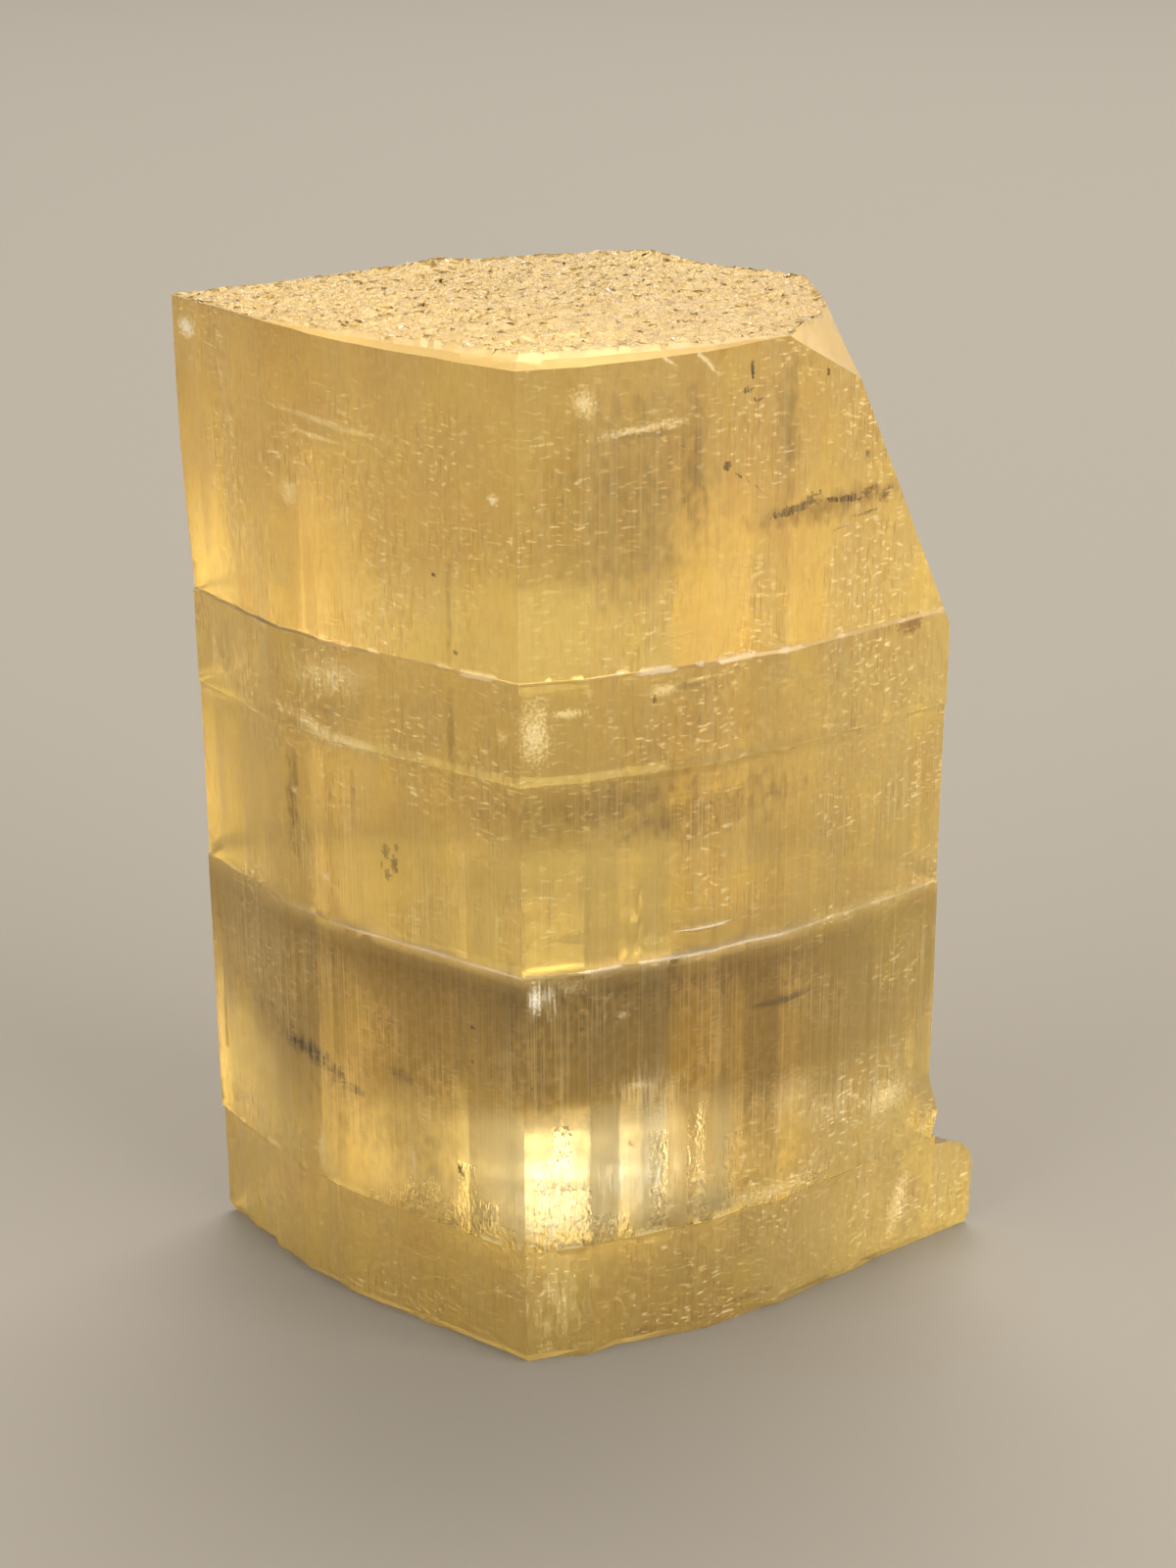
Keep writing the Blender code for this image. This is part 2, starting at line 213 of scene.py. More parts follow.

# %% [markdown]
# ## Marks on the front faces
# Rust has crept into short cracks as dark needles and brown crusts.  Smoky patches are crowds of
# fine dark inclusions.  Milky wisps are healed cracks full of bubbles, which scatter light, and a
# few pale ovals among them are painted highlights and glints.  The bright upright marks are painted
# highlights, where grooves catch the light.  All are only colour.  Each is an oval at a place on
# the face, and a fine noise frays its edge.

# %% Rust, smoke, milky wisps with painted glints, and painted highlights
# x, z, half width, half height, tilt, strength, tint.
RUST = (
    (6.60, 29.70, 0.62, 0.13, 8, 1.00, "#050100"), (5.95, 29.62, 0.34, 0.05, 0, 0.99, "#240E00"),
    (7.05, 29.86, 0.34, 0.14, 30, 1.00, "#030000"), (7.95, 29.72, 0.24, 0.07, -10, 0.99, "#240E00"),
    (8.60, 29.66, 0.42, 0.10, -5, 0.99, "#331701"), (9.15, 29.80, 0.24, 0.10, 20, 0.99, "#331701"),
    (9.75, 29.55, 0.22, 0.14, 40, 0.88, "#432402"), (9.00, 29.05, 0.36, 0.05, 5, 0.77, "#532E03"),
    (8.30, 28.75, 0.30, 0.04, 15, 0.77, "#532E03"), (4.30, 31.45, 0.10, 0.13, 0, 1.00, "#170700"),
    (4.66, 31.08, 0.28, 0.04, -38, 0.99, "#240E00"), (5.22, 30.66, 0.30, 0.02, -45, 0.77, "#532E03"),
    (4.92, 33.78, 0.15, 0.08, 10, 1.00, "#0E0300"), (5.12, 33.50, 0.16, 0.03, -55, 0.99, "#240E00"),
    (5.32, 33.42, 0.13, 0.03, 25, 0.99, "#240E00"), (5.07, 34.45, 0.05, 0.26, 4, 0.99, "#170700"),
    (7.60, 34.00, 0.04, 0.15, 0, 0.88, "#331701"), (9.05, 31.02, 0.08, 0.11, 0, 0.88, "#432402"),
    (10.86, 24.79, 0.36, 0.26, 0, 0.77, "#884C03"), (-5.07, 28.02, 0.07, 0.07, 0, 0.99, "#240800"),
    (-4.40, 25.60, 0.06, 0.06, 0, 0.99, "#241000"), (-6.98, 18.00, 0.11, 0.22, 0, 0.70, "#361F02"),
    (-6.68, 17.62, 0.10, 0.26, 5, 0.75, "#361F02"), (-6.92, 17.18, 0.12, 0.16, 0, 0.70, "#361F02"),
    (-6.62, 18.22, 0.07, 0.13, 0, 0.60, "#361F02"), (-7.12, 17.50, 0.06, 0.12, 0, 0.60, "#361F02"),
    (-4.07, 12.47, 0.07, 0.06, 0, 1.00, "#0C0300"), (-0.37, 12.76, 0.07, 0.06, 0, 1.00, "#0C0300"),
    (-4.10, 11.20, 0.05, 0.05, 0, 0.99, "#170700"), (-4.60, 6.85, 0.07, 0.20, 20, 1.00, "#0E0500"),
    (-6.60, 9.80, 0.36, 0.20, -15, 0.66, "#422A06"), (-7.00, 11.60, 0.36, 0.22, 0, 0.44, "#57380A"),
    (2.00, 24.00, 0.06, 0.12, 0, 0.88, "#331C01"), (1.80, 0.55, 0.42, 0.14, 0, 0.55, "#925502"),
)
SMOKE = (
    (3.20, 31.30, 0.42, 2.00, 0, 0.78, "#6A5C2F"), (1.00, 30.60, 2.20, 2.80, 0, 0.59, "#745F2C"),
    (1.95, 29.20, 0.08, 0.55, 0, 0.95, "#312106"), (2.80, 28.94, 0.06, 0.60, 0, 0.95, "#3D2A09"),
    (6.30, 32.20, 0.36, 2.10, 0, 0.65, "#7A6932"), (0.40, 20.60, 3.20, 0.70, 4, 0.72, "#795E29"),
    (1.60, 20.75, 0.50, 0.12, 4, 0.91, "#402E0B"), (-10.36, 18.90, 0.18, 1.60, 0, 0.85, "#68491F"),
    (-8.10, 19.60, 0.09, 0.80, 0, 0.65, "#6E5325"), (-10.00, 9.30, 1.70, 0.42, -22, 0.95, "#2A1A04"),
    (-8.50, 8.60, 0.80, 0.26, -14, 0.90, "#2A1A04"), (2.70, 14.10, 0.40, 0.70, 0, 0.59, "#6E5121"),
    (-4.60, 27.00, 0.10, 1.60, 0, 0.59, "#73551E"), (-4.60, 22.50, 0.12, 1.80, 0, 0.52, "#73551E"),
    (5.00, 0.75, 1.20, 0.09, 6, 0.52, "#6E4C15"), (-2.75, 13.20, 0.20, 1.60, 0, 0.65, "#614817"),
    (-7.20, 7.60, 2.20, 1.60, -14, 0.70, "#8A7030"),
    (7.90, 29.55, 2.30, 0.36, 3, 0.78, "#805711"), (3.60, 19.90, 2.60, 0.70, 3, 0.72, "#6E5325"),
)
MILKY_AND_GLINTS = (
    (1.42, 32.90, 1.40, 0.13, 7, 0.66, MILK_AND_GLINT), (-0.25, 33.90, 0.35, 0.45, 30, 0.54, MILK_AND_GLINT),
    (-1.00, 32.70, 1.10, 0.05, 4, 0.46, MILK_AND_GLINT), (-8.50, 32.40, 2.00, 0.12, -7, 0.39, MILK_AND_GLINT),
    (-9.00, 31.90, 0.90, 0.10, -5, 0.46, MILK_AND_GLINT), (-13.80, 34.40, 0.30, 0.32, 0, 0.74, "#FFFFFF"),
    (-3.08, 30.84, 0.15, 0.18, 0, 0.74, "#FFF9E2"), (-10.40, 31.60, 0.09, 0.07, 0, 0.74, MILK_AND_GLINT),
    (-9.20, 31.70, 0.07, 0.07, 0, 0.74, MILK_AND_GLINT), (-10.05, 29.80, 0.26, 0.45, 0, 0.50, MILK_AND_GLINT),
    (-8.60, 23.90, 0.90, 0.60, 0, 0.43, MILK_AND_GLINT), (-1.85, 23.30, 0.45, 0.90, 0, 0.66, MILK_AND_GLINT),
    (-0.80, 23.90, 0.50, 0.14, 0, 0.62, MILK_AND_GLINT), (-2.90, 23.10, 0.16, 0.18, 0, 0.54, MILK_AND_GLINT),
    (-9.60, 21.90, 1.20, 0.20, -14, 0.43, MILK_AND_GLINT), (-8.10, 21.60, 0.90, 0.24, -6, 0.50, MILK_AND_GLINT),
    (2.30, 24.30, 0.50, 0.18, 6, 0.58, MILK_AND_GLINT), (3.60, 24.55, 0.60, 0.06, 6, 0.46, MILK_AND_GLINT),
    (-1.95, 14.05, 0.20, 0.55, 0, 0.60, "#FFFDF4"), (-0.70, 14.30, 0.40, 0.30, 0, 0.35, MILK_AND_GLINT),
    (1.00, 13.00, 0.20, 0.14, 0, 0.46, MILK_AND_GLINT), (1.50, 10.30, 0.30, 0.12, 0, 0.46, MILK_AND_GLINT),
    (2.10, 8.70, 0.50, 0.70, 0, 0.46, MILK_AND_GLINT),
    # Painted highlights: the lip's highlight and the pale patches on the right face on this line and
    # the next, and the two small glints on the line after.
    (11.30, 2.10, 0.30, 1.20, -12, 0.58, "#FFE7B4"), (6.30, 4.90, 1.50, 0.40, 4, 0.39, MILK_AND_GLINT),
    (6.90, 8.40, 0.90, 0.90, 0, 0.28, MILK_AND_GLINT), (10.60, 6.90, 0.80, 0.55, 0, 0.46, MILK_AND_GLINT),
    (-9.20, 16.40, 0.13, 0.12, 0, 0.70, MILK_AND_GLINT), (-10.30, 19.20, 0.12, 0.12, 0, 0.62, MILK_AND_GLINT),
    (3.50, 34.95, 0.60, 0.07, -48, 0.70, "#FFF3D8"), (2.30, 35.05, 0.40, 0.06, -40, 0.62, "#FFF3D8"),
    (-9.80, 5.60, 0.14, 0.80, 0, 0.46, MILK_AND_GLINT), (-6.30, 6.60, 0.08, 0.50, 0, 0.46, MILK_AND_GLINT),
)
# Painted highlights: bright upright marks where grooves catch the light.
HIGHLIGHT_STREAKS = (
    (-1.30, 2.60, 1.50, 2.60, 0, 0.45, "#FFF0C4"), (-1.30, 6.20, 1.50, 2.40, 0, 0.70, "#FFFDF2"),
    (1.40, 6.90, 2.30, 1.70, 0, 0.60, "#FFFBEA"), (2.00, 10.20, 1.50, 1.10, 0, 0.35, "#FFF3D0"),
    (8.60, 7.40, 2.40, 1.10, 8, 0.35, "#FFE9B8"),
    (-9.60, 23.60, 1.30, 0.90, 0, 0.40, "#FFEFC4"), (-9.20, 21.60, 1.20, 0.50, -8, 0.50, "#FFF3D0"),
    (-1.60, 14.00, 0.90, 1.00, 0, 0.80, "#FFF9E4"),
)
MARKS = {"smoke": SMOKE, "milk_and_glints": MILKY_AND_GLINTS, "highlight_streaks": HIGHLIGHT_STREAKS, "rust": RUST}
print("marks:", {kind: len(marks) for kind, marks in MARKS.items()})

# %% The material
IOR = 1.62
DEPTH_COLOUR = "#F6E6AC"       # what a little depth of topaz does to white light
DEPTH_DENSITY = 40.0           # per metre
FINE = (0.10, 0.10, 0.10)      # mm: the noises that fray the marks
CLOUDED = (0.34, 0.34, 0.60)
UPRIGHT = (0.10, 0.10, 0.90)
FRAY = 1.2                     # how far the noise moves a mark's edge, in shares of its oval
# Where each kind's colour ends and where it is full, in shares of the oval, and its noise.
EDGES = {"smoke": (1.5, 0.2, CLOUDED), "milk_and_glints": (1.4, 0.1, FINE), "highlight_streaks": (0.7, -0.2, UPRIGHT),
         "rust": (1.4, 0.9, FINE)}
VEILS = {"milk_and_glints": 0.7, "highlight_streaks": 0.5}      # how much of the clearness each takes
# Crowds of specks: size in mm, the noise where they start and are full, and tint.  The first
# are milky flecks, then dark ticks, pale hairlines and mottling.
SPECKS = (
    ((0.30, 0.30, 0.10), 0.60, 0.80, MILK_AND_GLINT), ((0.07, 0.07, 0.60), 0.58, 0.70, "#B08A42"),
    ((0.06, 0.06, 7.00), 0.50, 0.70, "#FFF0BC"), ((0.25, 0.25, 0.40), 0.40, 0.65, "#E6BE68"),
)


def grains(tree, size, low, high, detail=0.0):
    """A value from 0 to 1 in soft grains of a size in mm, between two levels of the noise."""
    place = add_node(tree, "ShaderNodeTexCoord").outputs["Object"]
    per_metre = [1 / (v * MM) for v in size]
    scaled = add_node(tree, "ShaderNodeMapping", {"Vector": place, "Scale": per_metre})
    clouds = add_node(tree, "ShaderNodeTexNoise", {"Vector": scaled.outputs["Vector"], "Scale": 1.0,
                                                   "Detail": detail})
    return add_node(tree, "ShaderNodeMapRange", {"Value": clouds.outputs["Fac"], "From Min": low,
                                                 "From Max": high}).outputs["Result"]


def imperial_topaz():
    """See-through honey gold that deepens with the depth light crosses, under many finishes."""
    topaz = bpy.data.materials.new("imperial topaz")
    topaz.use_nodes = True
    tree = topaz.node_tree
    shader = tree.nodes["Principled BSDF"]
    shader.inputs["IOR"].default_value = IOR
    depth = add_node(tree, "ShaderNodeVolumeAbsorption",
                     {"Color": linear(DEPTH_COLOUR), "Density": DEPTH_DENSITY})
    tree.links.new(depth.outputs["Volume"], tree.nodes["Material Output"].inputs["Volume"])

    # The face's own roughness, clearness and grain.
    surface = add_node(tree, "ShaderNodeAttribute", attribute_name="surface").outputs["Vector"]
    parts = add_node(tree, "ShaderNodeSeparateXYZ", {"Vector": surface}).outputs
    grain = add_node(tree, "ShaderNodeAttribute", attribute_name="grain").outputs["Vector"]
    place = add_node(tree, "ShaderNodeTexCoord").outputs["Object"]
    scaled = add_node(tree, "ShaderNodeVectorMath", {0: place, 1: grain}, operation="MULTIPLY")
    height = add_node(tree, "ShaderNodeTexNoise", {"Vector": scaled.outputs["Vector"], "Scale": 1.0,
                                                   "Detail": 1.0}).outputs["Fac"]
    bump = add_node(tree, "ShaderNodeBump", {"Height": height, "Distance": parts["Z"]})
    tree.links.new(parts["X"], shader.inputs["Roughness"])
    tree.links.new(bump.outputs["Normal"], shader.inputs["Normal"])

    # The marks, each kind laid over the last.
    colour = add_node(tree, "ShaderNodeAttribute", attribute_name="tint").outputs["Color"]
    veil = 0.0
    fray = {size: grains(tree, size, 0.25, 0.75, 1.0) for size in (FINE, CLOUDED, UPRIGHT)}
    for kind, (end, full, size) in EDGES.items():
        oval = add_node(tree, "ShaderNodeAttribute", attribute_name=kind).outputs["Vector"]
        ink = add_node(tree, "ShaderNodeAttribute", attribute_name=kind + " tint").outputs
        reach = add_node(tree, "ShaderNodeVectorMath", {0: oval}, operation="LENGTH").outputs["Value"]
        frayed = add_node(tree, "ShaderNodeMath", {0: fray[size], 1: FRAY, 2: reach},
                          operation="MULTIPLY_ADD").outputs["Value"]
        mask = add_node(tree, "ShaderNodeMapRange",
                        {"Value": frayed, "From Min": end + 0.5 * FRAY, "From Max": full + 0.5 * FRAY,
                         "To Max": ink["Alpha"]}).outputs["Result"]
        colour = add_node(tree, "ShaderNodeMix", {0: mask, 6: colour, 7: ink["Color"]},
                          data_type="RGBA").outputs[2]
        if kind in VEILS:
            veil = add_node(tree, "ShaderNodeMath", {0: mask, 1: VEILS[kind], 2: veil},
                            operation="MULTIPLY_ADD").outputs["Value"]

    # The specks, where the face has a crowd of them.
    crowd = add_node(tree, "ShaderNodeAttribute", attribute_name="crowd").outputs["Fac"]
    for size, start, full, tint in SPECKS:
        mask = add_node(tree, "ShaderNodeMath", {0: grains(tree, size, start, full), 1: crowd},
                        operation="MULTIPLY").outputs["Value"]
        colour = add_node(tree, "ShaderNodeMix", {0: mask, 6: colour, 7: linear(tint)},
                          data_type="RGBA").outputs[2]
        if tint == MILK_AND_GLINT:
            veil = add_node(tree, "ShaderNodeMath", {0: mask, 1: VEILS["milk_and_glints"], 2: veil},
                            operation="MULTIPLY_ADD").outputs["Value"]
    tree.links.new(colour, shader.inputs["Base Color"])
    clear = add_node(tree, "ShaderNodeMath", {0: parts["Y"], 1: veil}, operation="SUBTRACT",
                     use_clamp=True)
    tree.links.new(clear.outputs["Value"], shader.inputs["Transmission Weight"])
    return topaz


topaz_material = imperial_topaz()
print("nodes in", topaz_material.name + ":", len(topaz_material.node_tree.nodes))


# %% [markdown]
# ## The crystal's outside
# A construction model's faces are large, and a crystal's are not.  The model's mesh is copied
# and merged, its large faces are cut into narrow ones with the bisect tool, and Displace
# modifiers push those in and out.  Cutting keeps every true edge, which remeshing wouldn't.

# %% Helpers for editing
def only(obj):
    """Select one object and make it the active one."""
    bpy.ops.object.select_all(action="DESELECT")
    obj.select_set(True)
    bpy.context.view_layer.objects.active = obj


def select(obj, test=None):
    """Select the faces that pass a test, in edit mode."""
    if test is None:
        bpy.ops.mesh.select_all(action="SELECT")
        return
    bm = bmesh.from_edit_mesh(obj.data)
    for face in bm.faces:
        face.select_set(bool(test(face)))
    bmesh.update_edit_mesh(obj.data)


def edit(obj, test=None):
    """Open an object in edit mode with the faces that pass a test selected."""
    only(obj)
    bpy.ops.object.mode_set(mode="EDIT")
    bpy.ops.mesh.select_mode(type="FACE")
    select(obj, test)


def close():
    """Leave edit mode."""
    bpy.ops.object.mode_set(mode="OBJECT")


CUT_TOLERANCE = 1e-7           # metres: a corner this near a cut counts as on it


def cut_across(obj, direction, start, stop, spacing, test=None):
    """Cut the faces that pass a test with a row of parallel planes."""
    direction = Vector(direction)
    for k in range(1, int((stop - start) / spacing) + 1):
        select(obj, test)
        bpy.ops.mesh.bisect(plane_co=direction * (start + k * spacing), plane_no=direction,
                            threshold=CUT_TOLERANCE)


# %% Tests for faces
STEEP = 0.25                   # an upright face's normal rises or falls by less than this
LEVEL = 0.8                    # and a level face's normal by more than this
TOP_DEPTH = 1.6 * MM           # the top and its rim lie this near the highest point
RIM_RISE = (0.2, 0.995)        # by how much the rim's normals rise
RIM_LEAN = 0.17                # and lean outwards at the least
BREAK_CORNER = (4.0 * MM, 20.0 * MM)     # the break lies to the right of this and above it


def is_wall(face):
    """Upright, as the prism faces are."""
    return abs(face.normal.z) < STEEP


def is_front(face):
    """Turned to the front."""
    return face.normal.y < -0.1 and abs(face.normal.z) < 0.5


def near_top(face):
    """High enough to belong to the top or its rim."""
    return face.calc_center_median().z > high.z - TOP_DEPTH


def is_rim(face):
    """The smooth rounded rim between the etched top and the prism faces: it leans outwards."""
    outward = face.calc_center_median().xy.normalized()
    rises = RIM_RISE[0] < face.normal.z < RIM_RISE[1]
    return near_top(face) and rises and face.normal.xy.dot(outward) > RIM_LEAN


def is_frost(face):
    """The etched top within its rim."""
    return face.normal.z > LEVEL and near_top(face) and not is_rim(face)


def is_broken(face):
    """The broken corner: neither upright nor level, high on the right."""
    middle = face.calc_center_median()
    at_corner = middle.x > BREAK_CORNER[0] and middle.z > BREAK_CORNER[1]
    return at_corner and STEEP <= face.normal.z <= LEVEL


def is_base(face):
    """The flat cleavage that the crystal stands on."""
    return face.normal.z < -LEVEL and face.calc_center_median().z < 0.1 * MM


# %% Copy, merge and cut
SAME_POINT = 0.001 * MM        # corners this near each other are one
SAME_PLANE = 0.6               # degrees: faces that turn less than this from one another are one
COLUMN = 0.22 * MM             # width of the narrow faces that carry the grooves
STOREY = 1.2 * MM              # height of the narrow faces at the back
LOW_STOREY = 0.4 * MM          # on the front, where the marks are
GRAIN = 0.18 * MM              # size of the etched top's cells

crystal = bpy.data.objects.new("topaz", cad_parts["topaz_crystal"].data.copy())
bpy.context.scene.collection.objects.link(crystal)
crystal.data.materials.clear()
edit(crystal)
bpy.ops.mesh.remove_doubles(threshold=SAME_POINT)
bpy.ops.mesh.dissolve_limited(angle_limit=math.radians(SAME_PLANE))
close()
bpy.ops.object.duplicate()
block = bpy.context.active_object        # kept coarse, to slice the cracks from
block.name = "block"

edit(crystal)
cut_across(crystal, (1, 0, 0), low.x, high.x, COLUMN)
cut_across(crystal, (0, 0, 1), 0.0, high.z, STOREY, is_wall)
cut_across(crystal, (0, 0, 1), 0.0, high.z, LOW_STOREY, is_front)
cut_across(crystal, (0, 1, 0), low.y, high.y, GRAIN, is_frost)
close()
print("crystal, cut into", len(crystal.data.polygons), "faces")


# %% Groove the faces and etch the top
FACET_JITTER = 0.06 * MM       # how far the etched top's corners are moved about
GROOVES = (0.90, 0.90, 30.0)   # mm: long and upright
GROOVE_DEPTH = 0.010           # mm
GROOVE_LEVEL = 1.0             # all the noise is below this, so the grooves only go in
ETCHING = (0.22, 0.22, 0.22)   # mm
ETCH_DEPTH = 0.20              # mm
ETCH_LEVEL = 0.85              # most of the noise is below this, so the etching goes in too


def group_of(obj, name, test):
    """A vertex group of the vertices whose faces all pass a test."""
    bm = bmesh.new()
    bm.from_mesh(obj.data)
    inside = [v.index for v in bm.verts if all(test(f) for f in v.link_faces)]
    bm.free()
    obj.vertex_groups.new(name=name).add(inside, 1.0, "REPLACE")


def push(obj, group, grain, depth, level=0.5, direction="NORMAL", detail=2):
    """Displace a vertex group by cloud noise.  Its grain and depth are in mm, and the level of
    the noise stays where it is."""
    texture = bpy.data.textures.new(group, "CLOUDS")
    texture.noise_scale = 1.0
    texture.noise_depth = detail
    guide = bpy.data.objects.new("guide", None)
    bpy.context.scene.collection.objects.link(guide)
    guide.scale = [g * MM for g in grain]
    bpy.context.view_layer.update()
    displace = obj.modifiers.new("displace", "DISPLACE")
    displace.texture = texture
    displace.texture_coords = "OBJECT"
    displace.texture_coords_object = guide
    displace.vertex_group = group
    displace.strength = depth * MM
    displace.mid_level = level
    displace.direction = direction
    only(obj)
    bpy.ops.object.modifier_apply(modifier="displace")
    bpy.data.objects.remove(guide)


group_of(crystal, "faces", is_wall)
group_of(crystal, "frost", is_frost)
edit(crystal, is_frost)
bpy.ops.transform.vertex_random(offset=FACET_JITTER, uniform=1.0, normal=0.0, seed=3)
close()
push(crystal, "faces", GROOVES, GROOVE_DEPTH, GROOVE_LEVEL)
push(crystal, "frost", ETCHING, ETCH_DEPTH, ETCH_LEVEL)
print("etched", ETCH_DEPTH, "mm deep and grooved", GROOVE_DEPTH, "mm deep")

# %% [markdown]
# ## Paint the finishes on the faces
# Each face gets its finish, and each corner of it a tint and a clearness of its own.  The prism
# faces are cloudy and hazy towards the sides.  Painted shade darkens their tint between the second
# and the lowest crack, and faintly above the second, and a painted highlight lightens it just above
# the lowest.  Growth went on in blocks, so the tint steps from block to block.
#
# Just above the lowest crack the front glitters: there its faces are smoother, with a deeper
# grain, so they show the window in the crack's mirror in many small pieces.

# %% Where the tint changes, and where shade and highlight are painted into it
CLEAVAGES = {"top": 24.97, "third": 21.48, "second": 14.79, "lowest": 4.42}      # heights in mm
# Painted shade: the dark tint mixed into the darker storeys.
PAINTED_SHADE = "#735810"
CLOUDY = "#F6D47C"
BLOCKY = "#F8DA84"
# A painted highlight: the paler tint of the clear strip by the front edge.
EDGE_HIGHLIGHT = "#FFE896"
# A painted highlight: the pale tint where the lowest crack mirrors the window.
PAINTED_HIGHLIGHT = "#FFF6D2"
CLOUD = (1.8, 1.8, 2.4)        # mm
BLOCK = (1.1, 1.1, 2.2)        # mm
CLOUD_NOISE = (-0.1, 0.5)      # the noise where a cloud starts and where it is full
CLEAR_STRIP = (-2.35, -0.10)   # mm: a clearer strip beside the front edge
EDGE_HIGHLIGHT_SHARE = 0.6              # how much of the painted edge highlight's tint the strip takes
# Bands up the crystal: strength, the heights between which each rises, and where it falls, in mm.
# Painted shade under the second crack and faintly above it, then a painted highlight just above the
# lowest crack.
SHADE_BAND = (0.95, (6.0, 9.5), (14.9, 14.2))
FAINT_SHADE_BAND = (0.30, (14.8, 15.2), (22.0, 18.0))
HIGHLIGHT_BAND = (0.7, (4.3, 5.0), (10.0, 7.0))
SHADE_MIDDLE = -1.0            # mm across
SHADE_SIDES = (6.0, 12.0)      # mm from that middle: there it gets thinner
SHADE_THINS = 0.45             # by this share
HIGHLIGHT_MIDDLE = 0.5            # mm across
HIGHLIGHT_REACH = {True: 5.0, False: 9.0}   # mm to each side, on the front and elsewhere
HIGHLIGHT_FADE = 2.0              # mm


def ramp(value, start, stop):
    """0 up to start, 1 from stop on, and a straight line between."""
    return min(1.0, max(0.0, (value - start) / (stop - start)))


def band(height, strength, rise, fall):
    """The strength of a band at a height in mm."""
    return strength * ramp(height, *rise) * ramp(height, *fall)


def mixed(first, second, share):
    """A share of the second colour mixed into the first."""
    return [a + (b - a) * share for a, b in zip(first, second)]


def cells(place, size):
    """A place in mm, counted in cells of a size in mm."""
    return Vector(p / s for p, s in zip(place, size))


def in_strip(middle, front):
    """Whether a face with its middle at a place in mm lies in the clear strip."""
    return front and CLEAR_STRIP[0] < middle.x < CLEAR_STRIP[1]


def shade_share(place):
    """How much painted shade a prism face takes: most under the second crack, less at the sides and
    above it.
    """
    sides = ramp(abs(place.x - SHADE_MIDDLE), *SHADE_SIDES)
    return band(place.z, *SHADE_BAND) * (1.0 - SHADE_THINS * sides) + band(place.z, *FAINT_SHADE_BAND)


def brightness(place, front):
    """How much painted highlight a prism face takes, for the lowest crack's mirror: most just above
    it, near the middle.
    """
    reach = HIGHLIGHT_REACH[front]
    across = ramp(abs(place.x - HIGHLIGHT_MIDDLE), reach, reach - HIGHLIGHT_FADE)
    return band(place.z, *HIGHLIGHT_BAND) * across


def prism_tint(place, middle, front):
    """The tint of a prism face at a place in mm, with painted shade and highlight; middle is the
    middle of its face.
    """
    cloud = ramp(noise.noise(cells(place, CLOUD)), *CLOUD_NOISE)
    colour = mixed(linear(FINISHES["striated"][0]), linear(CLOUDY), cloud)
    if front:
        colour = mixed(colour, linear(BLOCKY), noise.cell(cells(middle, BLOCK)))
    # The clear strip's lighter tint is a painted highlight along the front edge.
    if in_strip(middle, front):
        colour = mixed(colour, linear(EDGE_HIGHLIGHT), EDGE_HIGHLIGHT_SHARE)
    # Painted shade darkens the tint in two storeys, then a painted highlight lightens it above the
    # lowest crack.
    colour = mixed(colour, linear(PAINTED_SHADE), shade_share(place))
    return mixed(colour, linear(PAINTED_HIGHLIGHT), brightness(place, front))


# The share of painted shade 12 mm up the middle of the front.
print("a smoky place:", round(shade_share(Vector((0.0, 0.0, 12.0))), 2), "smoky")

# %% Where it is hazy, and where it glitters
HAZE_LEFT = (0.20, (-5.0, -12.0))        # strength, and the places across where it starts and is full
HAZE_RIGHT = (0.42, (3.0, 10.0))
HAZE_LIP = (0.6, (8.5, 12.5), (6.5, 4.5))          # and the heights between which it falls
GLITTER_BAND = (0.7, (4.2, 4.6), (9.5, 6.0))       # on the faces that aren't at the front
GLITTER_BLOCK = (0.66, 1.0, 1.0)         # mm: on the front the glitter comes in columns of growth
GLITTER_HEIGHTS = (2.2, 5.2)             # mm: the lowest and the tallest of them
GLITTER_ENDS = ((-8.0, -3.0), (9.0, 4.5))          # mm across: they get shorter towards both ends


def haze(place):
    """How hazy the front is at a place in mm: it is hazy towards both sides and on the lip."""
    sides = [strength * ramp(place.x, *across) for strength, across in (HAZE_LEFT, HAZE_RIGHT)]
    strength, across, up = HAZE_LIP
    return max(*sides, strength * ramp(place.x, *across) * ramp(place.z, *up))


def glitter(middle, front):
    """How much a prism face with its middle at a place in mm glitters."""
    lowest = CLEAVAGES["lowest"]
    if not front:
        return band(middle.z, *GLITTER_BAND)
    block = cells(middle, GLITTER_BLOCK)
    across = (math.floor(block.x) + 0.5) * GLITTER_BLOCK[0]
    left, right = GLITTER_ENDS
    short, tall = GLITTER_HEIGHTS
    height = short + (tall - short) * noise.cell(Vector((block.x, 0.5, 0.5)))
    height *= ramp(across, *left) * ramp(across, *right)
    return 1.0 if lowest < middle.z < lowest + height else 0.0


print("haze at the right side:", round(haze(Vector((9.0, 0.0, 20.0))), 2))

# %% Which marks reach a face
FAR = (9.0, 9.0, 0.0)          # a place well outside every oval
MARK_REACH = 2.0               # a frayed mark may show this far out, in sizes of its oval
FACE_ROOM = (0.2, 0.4)         # mm: about the width and the height of a face on the front


def oval_place(mark, place):
    """Where a place in mm lies in a mark's oval, whose rim is at a length of 1."""
    x, z, wide, tall, tilt = mark[:5]
    across, up, turn = place.x - x, place.z - z, math.radians(tilt)
    return Vector(((across * math.cos(turn) + up * math.sin(turn)) / wide,
                   (up * math.cos(turn) - across * math.sin(turn)) / tall, 0.0))


